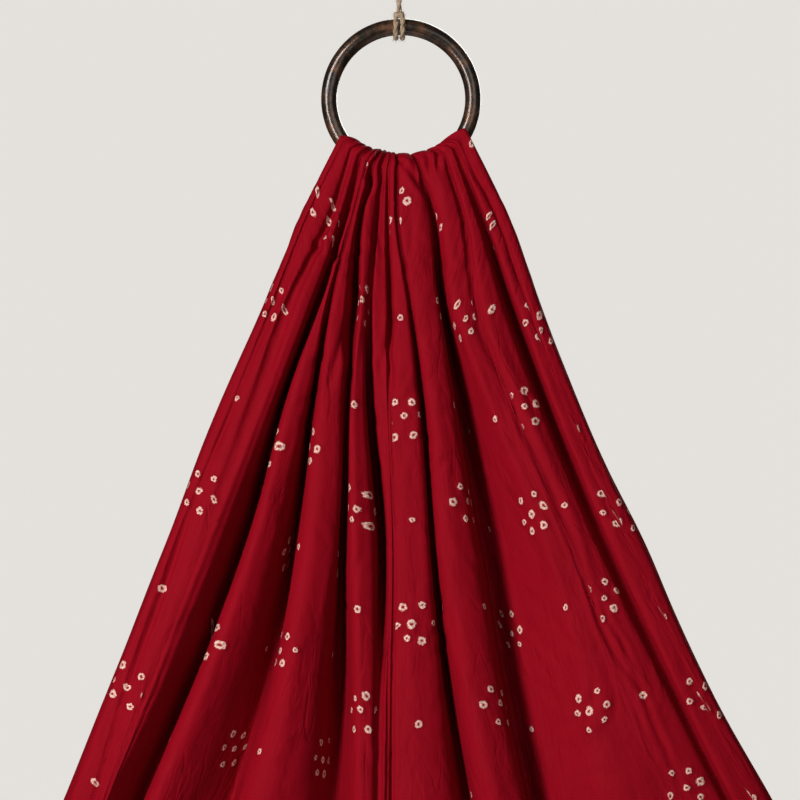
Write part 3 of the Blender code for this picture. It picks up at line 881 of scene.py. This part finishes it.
def tiedDots(tree, flat):
    # Distance to the nearest tied dot's middle, in mm, smaller dots counting as farther
    stretch = {"operation": "MULTIPLY_ADD", 1: (pattern["wobble"], pattern["wobble"], 0)}
    wobble = addNode(tree, "TexNoise", {"Scale": 0.5, "Detail": 3.0, "Roughness": 0.6}, {"Vector": flat})
    wobbled = addNode(tree, "VectorMath", stretch, {0: wobble.outputs["Color"], 2: flat})
    # The cell that this point is in, and its place from the cell's middle
    start = {"operation": "SUBTRACT", 1: (*pattern["start"], 0)}
    fromStart = addNode(tree, "VectorMath", start, {0: wobbled})
    cells = addNode(tree, "VectorMath", {"operation": "DIVIDE", 1: (*pattern["cell"], 1)}, {0: fromStart})
    middles = addNode(tree, "VectorMath", {"operation": "ADD", 1: (0.5, 0.5, 0)}, {0: cells})
    snapped = addNode(tree, "VectorMath", {"operation": "SNAP", 1: (1, 1, 1)}, {0: middles})
    inside = addNode(tree, "VectorMath", {"operation": "SUBTRACT"}, {0: cells, 1: snapped})
    local = addNode(tree, "VectorMath", {"operation": "MULTIPLY", 1: (*pattern["cell"], 0)}, {0: inside})
    # Every other cell has a single dot
    parts = addNode(tree, "SeparateXYZ", {}, {0: snapped})
    total = addNode(tree, "Math", {"operation": "ADD"}, {0: parts.outputs["X"], 1: parts.outputs["Y"]})
    single = addNode(tree, "Math", {"operation": "FLOORED_MODULO", 1: 2.0}, {0: total})

    spacing, jitter = pattern["spacing"], pattern["jitter"]
    offsets = [(0, 0)]
    for turn in range(6):
        angle = math.radians(60 * turn)
        offsets.append((spacing * math.cos(angle), spacing * math.sin(angle)))
    nearest = None
    for k, (x, y) in enumerate(offsets):
        key = addNode(tree, "VectorMath", {"operation": "ADD", 1: (0.3, 0.3, k + 0.3)}, {0: snapped})
        chance = addNode(tree, "TexWhiteNoise", {}, {"Vector": key})
        shift = {1: (jitter, jitter, 0), 2: (x - jitter / 2, y - jitter / 2, 0)}
        centre = addNode(
            tree, "VectorMath", {"operation": "MULTIPLY_ADD", **shift}, {0: chance.outputs["Color"]}
        )
        away = addNode(tree, "VectorMath", {"operation": "SUBTRACT"}, {0: local, 1: centre})
        distance = addNode(tree, "VectorMath", {"operation": "LENGTH"}, {0: away}).outputs["Value"]
        size = addNode(tree, "Math", {"operation": "MULTIPLY_ADD", 1: 0.5, 2: 0.78}, {0: chance})
        dot = addNode(tree, "Math", {"operation": "MULTIPLY"}, {0: distance, 1: size})
        if k:
            dot = addNode(tree, "Math", {"operation": "MULTIPLY_ADD", 1: 100.0}, {0: single, 2: dot})
            dot = addNode(tree, "Math", {"operation": "MINIMUM"}, {0: nearest, 1: dot})
        nearest = dot
    return nearest


def undyedShare(tree, flat, nearest):
    # The tied cloth stays cream but for a dyed speck where the thread's peak stuck out, and the
    # dye creeps in along the threads
    smooth = {"interpolation_type": "SMOOTHSTEP"}
    edge = {"From Min": pattern["outer"] + pattern["edge"], "From Max": pattern["outer"] - pattern["edge"]}
    outer = addNode(tree, "MapRange", {**smooth, **edge}, {"Value": nearest})
    creep = addNode(tree, "TexNoise", {"Scale": 1.1, "Detail": 3.0, "Roughness": 0.7}, {"Vector": flat})
    inward = {"operation": "MULTIPLY_ADD", 1: -pattern["creep"]}
    speck = addNode(tree, "Math", inward, {0: creep, 2: nearest})
    middle = pattern["inner"] - pattern["creep"] / 2
    edge = {"From Min": middle - pattern["speckEdge"], "From Max": middle + pattern["speckEdge"]}
    inner = addNode(tree, "MapRange", {**smooth, **edge}, {"Value": speck})
    shares = {"From Min": 0.38, "From Max": 0.5, "To Min": 0.15, "To Max": 1.0}
    strands = addNode(tree, "MapRange", shares, {"Value": creep})
    # Dots in a tight tuck are out of sight
    tuck = addNode(tree, "Attribute", {"attribute_name": "tuck"})
    untucked = addNode(tree, "Math", {"operation": "SUBTRACT", 0: 1.0}, {1: tuck.outputs["Fac"]})
    share = outer
    for factor in (inner, strands, untucked):
        share = addNode(tree, "Math", {"operation": "MULTIPLY"}, {0: share, 1: factor})
    return share


def clothHeight(tree, flat, nearest):
    # Relief in mm: puckers round the ties, soft unevenness, thin creases and the woven threads
    smooth = {"interpolation_type": "SMOOTHSTEP"}
    drawnIn = {"From Min": dyed["puckerReach"], "From Max": 0.0, "To Max": dyed["pucker"]}
    height = addNode(tree, "MapRange", {**smooth, **drawnIn}, {"Value": nearest})
    drawn = addNode(tree, "VectorMath", {"operation": "MULTIPLY", 1: (1.0, 0.45, 1)}, {0: flat})
    soft = addNode(tree, "TexNoise", {"Scale": 0.05, "Detail": 3.0, "Distortion": 0.5}, {"Vector": drawn})
    height = addNode(
        tree, "Math", {"operation": "MULTIPLY_ADD", 1: dyed["softHeight"]}, {0: soft, 2: height}
    )
    patches = addNode(tree, "TexNoise", {"Scale": 0.017, "Detail": 1.0}, {"Vector": flat})
    creased = addNode(tree, "MapRange", {"From Min": 0.4, "From Max": 0.62}, {"Value": patches})
    for slant, scale, depth in dyed["creaseLines"]:
        lie = {"Rotation": (0, 0, slant), "Scale": (1, 0.3, 1)}
        turned = addNode(tree, "Mapping", lie, {"Vector": flat})
        look = {"Scale": scale, "Detail": 2.0, "Distortion": 0.4}
        lines = addNode(tree, "TexNoise", look, {"Vector": turned})
        away = addNode(tree, "Math", {"operation": "SUBTRACT", 1: 0.5}, {0: lines})
        away = addNode(tree, "Math", {"operation": "ABSOLUTE"}, {0: away})
        trough = {"From Max": dyed["creaseWidth"], "To Min": -depth, "To Max": 0.0}
        crease = addNode(tree, "MapRange", {**smooth, **trough}, {"Value": away})
        height = addNode(tree, "Math", {"operation": "MULTIPLY_ADD"}, {0: crease, 1: creased, 2: height})
    for direction in ("X", "Y"):
        weave = {"Scale": dyed["threadScale"], "Distortion": 0.5, "Detail": 1.0}
        weave["bands_direction"] = direction
        threads = addNode(tree, "TexWave", weave, {"Vector": flat}).outputs["Fac"]
        raised = {"operation": "MULTIPLY_ADD", 1: dyed["threadHeight"]}
        height = addNode(tree, "Math", raised, {0: threads, 2: height})
    return height


def clothMaterial():
    # Fine plain-woven cotton, resist-dyed by tying: matt, a little silky, cream where it was tied
    material, tree, shader = newMaterial("tie-dyed bandhani cotton", {
        "Roughness": 0.7,
        "Specular IOR Level": 0.04,
        "Sheen Weight": 0.02,
        "Sheen Roughness": 0.4,
        "Sheen Tint": linear("#FF6050"),
    })
    uv = addNode(tree, "UVMap", {"uv_map": "flat"})
    flat = addNode(tree, "VectorMath", {"operation": "SCALE", "Scale": 1 / mm}, {0: uv})
    nearest = tiedDots(tree, flat)
    undyed = undyedShare(tree, flat, nearest)

    # The red is a little cloudy, and the thicker threads, the slubs, took the dye paler
    clouds = addNode(tree, "TexNoise", {"Scale": 0.03, "Detail": 3.0}, {"Vector": flat})
    red, deepRed = (linear(colour) for colour in dyed["reds"])
    red = addNode(tree, "Mix", {"data_type": "RGBA", 6: red, 7: deepRed}, {0: clouds}).outputs[2]
    along = addNode(tree, "Mapping", {"Scale": (2.2, 0.06, 1)}, {"Vector": flat})
    slubs = addNode(tree, "TexNoise", {"Scale": 1.0, "Detail": 2.0}, {"Vector": along})
    pale = addNode(tree, "MapRange", {"From Min": 0.35, "From Max": 0.75, "To Max": 0.3}, {"Value": slubs})
    colour = red
    for share, hexColour in ((pale, dyed["slubRed"]), (undyed, dyed["undyed"])):
        mix = {"data_type": "RGBA", 7: linear(hexColour)}
        colour = addNode(tree, "Mix", mix, {0: share, 6: colour}).outputs[2]
    tree.links.new(colour, shader.inputs["Base Color"])

    height = clothHeight(tree, flat, nearest)
    bump = addNode(tree, "Bump", {"Strength": 1.0, "Distance": mm}, {"Height": height})
    tree.links.new(bump.outputs["Normal"], shader.inputs["Normal"])
    return material


def makeCloth():
    places = columnPlaces()
    draped = drapedGrid(places)
    across, along, tuck = flatPlaces(draped, places)
    grid = crumpled(draped, across, along)
    grid, across, along, tuck = hemmed(grid, across, along, tuck)
    rows, columns, _ = grid.shape
    form = bmesh.new()
    bmesh.ops.create_grid(form, x_segments=columns - 1, y_segments=rows - 1, size=0.5)
    mesh = bpy.data.meshes.new("bandhaniCloth")
    form.to_mesh(mesh)
    form.free()
    start = np.zeros(len(mesh.vertices) * 3)
    mesh.vertices.foreach_get("co", start)
    start = start.reshape(-1, 3)
    column = np.rint((start[:, 0] + 0.5) * (columns - 1)).astype(int)
    row = np.rint((start[:, 1] + 0.5) * (rows - 1)).astype(int)
    points = grid[row, column] * mm + ringCentre
    mesh.vertices.foreach_set("co", points.ravel())
    vertexOf = np.zeros(len(mesh.loops), int)
    mesh.loops.foreach_get("vertex_index", vertexOf)
    flat = np.column_stack([across[row, column], along[row, column]])[vertexOf] * mm
    mesh.uv_layers.new(name="flat").data.foreach_set("uv", flat.ravel())
    mesh.attributes.new("tuck", "FLOAT", "POINT").data.foreach_set("value", tuck[row, column])
    mesh.update()
    made = addObject("bandhaniCloth", mesh, clothMaterial())
    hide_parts("cloth")


makeCloth()


# Ring
bronzeLook = {
    "patinaScale": 110.0,
    "tones": ((0.40, "#241D14"), (0.5, "#493325"), (0.64, "#7A5236")),
    "rubbed": "#A98B70",
    "scratches": (150, 2400, 1),  # to a metre, along the bar and round it
    "pitScale": 620.0,
    "relief": 0.3 * mm,
}


def bronzeMaterial():
    # Old cast bronze bar: dark brown patina with coppery patches, pitted and waxed, and rubbed
    # pale in scratches along the bar
    material, tree, shader = newMaterial(
        "aged rubbed bronze", {"Metallic": 0.7, "Coat Weight": 1.0, "Coat Roughness": 0.08}
    )
    smooth = {"interpolation_type": "SMOOTHSTEP"}
    place = addNode(tree, "TexCoord").outputs["Object"]
    bar = addNode(tree, "UVMap", {"uv_map": "bar"})
    grain = {"Scale": bronzeLook["patinaScale"], "Detail": 6.0, "Roughness": 0.72}
    patina = addNode(tree, "TexNoise", grain, {"Vector": place})
    ramp = addRamp(tree, patina, bronzeLook["tones"])
    drawn = addNode(tree, "Mapping", {"Scale": bronzeLook["scratches"]}, {"Vector": bar})
    grain = {"Scale": 1.0, "Detail": 4.0, "Roughness": 0.7, "Distortion": 0.6}
    scratches = addNode(tree, "TexNoise", grain, {"Vector": drawn})
    rubbed = addNode(tree, "MapRange", {**smooth, "From Min": 0.6, "From Max": 0.74}, {"Value": scratches})
    mix = {"data_type": "RGBA", 7: linear(bronzeLook["rubbed"])}
    colour = addNode(tree, "Mix", mix, {0: rubbed, 6: ramp})
    tree.links.new(colour.outputs[2], shader.inputs["Base Color"])
    polish = {"From Min": 0.35, "From Max": 0.7, "To Min": 0.55, "To Max": 0.25}
    rough = addNode(tree, "MapRange", polish, {"Value": scratches})
    tree.links.new(rough.outputs[0], shader.inputs["Roughness"])

    # Relief: pits in some patches, the patina's grain and the scratches
    cells = addNode(tree, "TexVoronoi", {"Scale": bronzeLook["pitScale"]}, {"Vector": place})
    sunk = {"From Min": 0.0, "From Max": 0.34, "To Min": -0.5, "To Max": 0.0}
    pits = addNode(tree, "MapRange", {**smooth, **sunk}, {"Value": cells})
    few = addNode(tree, "MapRange", {"From Min": 0.5, "From Max": 0.62}, {"Value": patina})
    height = addNode(tree, "Math", {"operation": "MULTIPLY"}, {0: pits, 1: few})
    for source, share in ((patina, 0.7), (scratches, 0.25)):
        height = addNode(tree, "Math", {"operation": "MULTIPLY_ADD", 1: share}, {0: source, 2: height})
    bump = addNode(tree, "Bump", {"Strength": 0.6, "Distance": bronzeLook["relief"]}, {"Height": height})
    tree.links.new(bump.outputs["Normal"], shader.inputs["Normal"])
    tree.links.new(bump.outputs["Normal"], shader.inputs["Coat Normal"])
    return material


def makeRing():
    turns, sides = ringBar["turns"], ringBar["sides"]
    form = bmesh.new()
    bar = form.loops.layers.uv.new("bar")
    verts = bmesh.ops.create_grid(form, x_segments=turns, y_segments=sides, size=0.5)["verts"]
    length = 2 * math.pi * ringBar["radius"] * mm
    girth = 2 * math.pi * ringBar["tube"] * mm
    for face in form.faces:
        for loop in face.loops:
            loop[bar].uv = ((loop.vert.co.x + 0.5) * length, (loop.vert.co.y + 0.5) * girth)
    for vert in verts:
        # The bar's joint is at the bottom, and its thickness is a little uneven
        turn = 2 * math.pi * (vert.co.x + 0.5) - math.pi / 2
        around = 2 * math.pi * (vert.co.y + 0.5)
        spot = Vector((math.cos(turn), math.sin(turn), math.cos(around))) * ringBar["unevenSize"]
        tube = ringBar["tube"] + ringBar["topThicker"] * max(0, math.sin(turn)) ** 2
        tube -= ringBar["uneven"] * (0.5 + 0.5 * noise.noise(spot))
        reach = ringBar["radius"] + tube * math.cos(around)
        point = (reach * math.cos(turn), tube * math.sin(around), reach * math.sin(turn))
        vert.co = Vector(point) * mm + Vector(ringCentre)
    bmesh.ops.remove_doubles(form, verts=verts, dist=1e-7)
    bmesh.ops.recalc_face_normals(form, faces=form.faces)
    mesh = bpy.data.meshes.new("bronzeRing")
    form.to_mesh(mesh)
    form.free()
    made = addObject("bronzeRing", mesh, bronzeMaterial())
    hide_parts("ring")


makeRing()
print("ring made")


# Set
def aim(obj, place, target):
    obj.location = place
    obj.rotation_euler = (Vector(target) - Vector(place)).to_track_quat("-Z", "Y").to_euler()


def addLight(name, place, size, power):
    light = bpy.data.objects.new(name, bpy.data.lights.new(name, "AREA"))
    bpy.context.scene.collection.objects.link(light)
    light.data.energy = power
    light.data.shape = "RECTANGLE"
    light.data.size, light.data.size_y = size
    aim(light, place, studio["lightsAim"])


def makeFloor():
    bpy.ops.mesh.primitive_circle_add(
        vertices=96,
        radius=studio["floorRadius"],
        fill_type="NGON",
        location=(0, 0, -studio["floorDrop"]),
    )
    floor = bpy.context.object
    floor.name = "floor"
    pale = linear(studio["backdrop"])
    material, tree, shader = newMaterial(
        "pale painted floor", {"Base Color": pale, "Roughness": 0.8, "Emission Color": pale}
    )
    # It glows for the camera only, so that it meets the backdrop and casts no light
    looked = addNode(tree, "LightPath").outputs["Is Camera Ray"]
    glow = addNode(tree, "Math", {"operation": "MULTIPLY", 1: studio["floorGlow"]}, {0: looked})
    tree.links.new(glow.outputs[0], shader.inputs["Emission Strength"])
    floor.data.materials.append(material)


def makeStudio():
    makeFloor()
    for name in ("key", "fill", "back"):
        place, size, power = (studio[name + what] for what in ("Place", "Size", "Power"))
        addLight(name + " light", place, size, power)

    world = bpy.data.worlds.new("pale studio")
    world.use_nodes = True
    tree = world.node_tree
    tree.nodes["Background"].inputs["Color"].default_value = linear(studio["backdrop"])
    looked = addNode(tree, "LightPath").outputs["Is Camera Ray"]
    strengths = {"data_type": "FLOAT", 2: studio["backdropGlow"], 3: 1.0}
    strength = addNode(tree, "Mix", strengths, {0: looked})
    tree.links.new(strength.outputs[0], tree.nodes["Background"].inputs["Strength"])
    bpy.context.scene.world = world
    bpy.context.scene.view_settings.view_transform = "Standard"


makeStudio()
print("studio made")
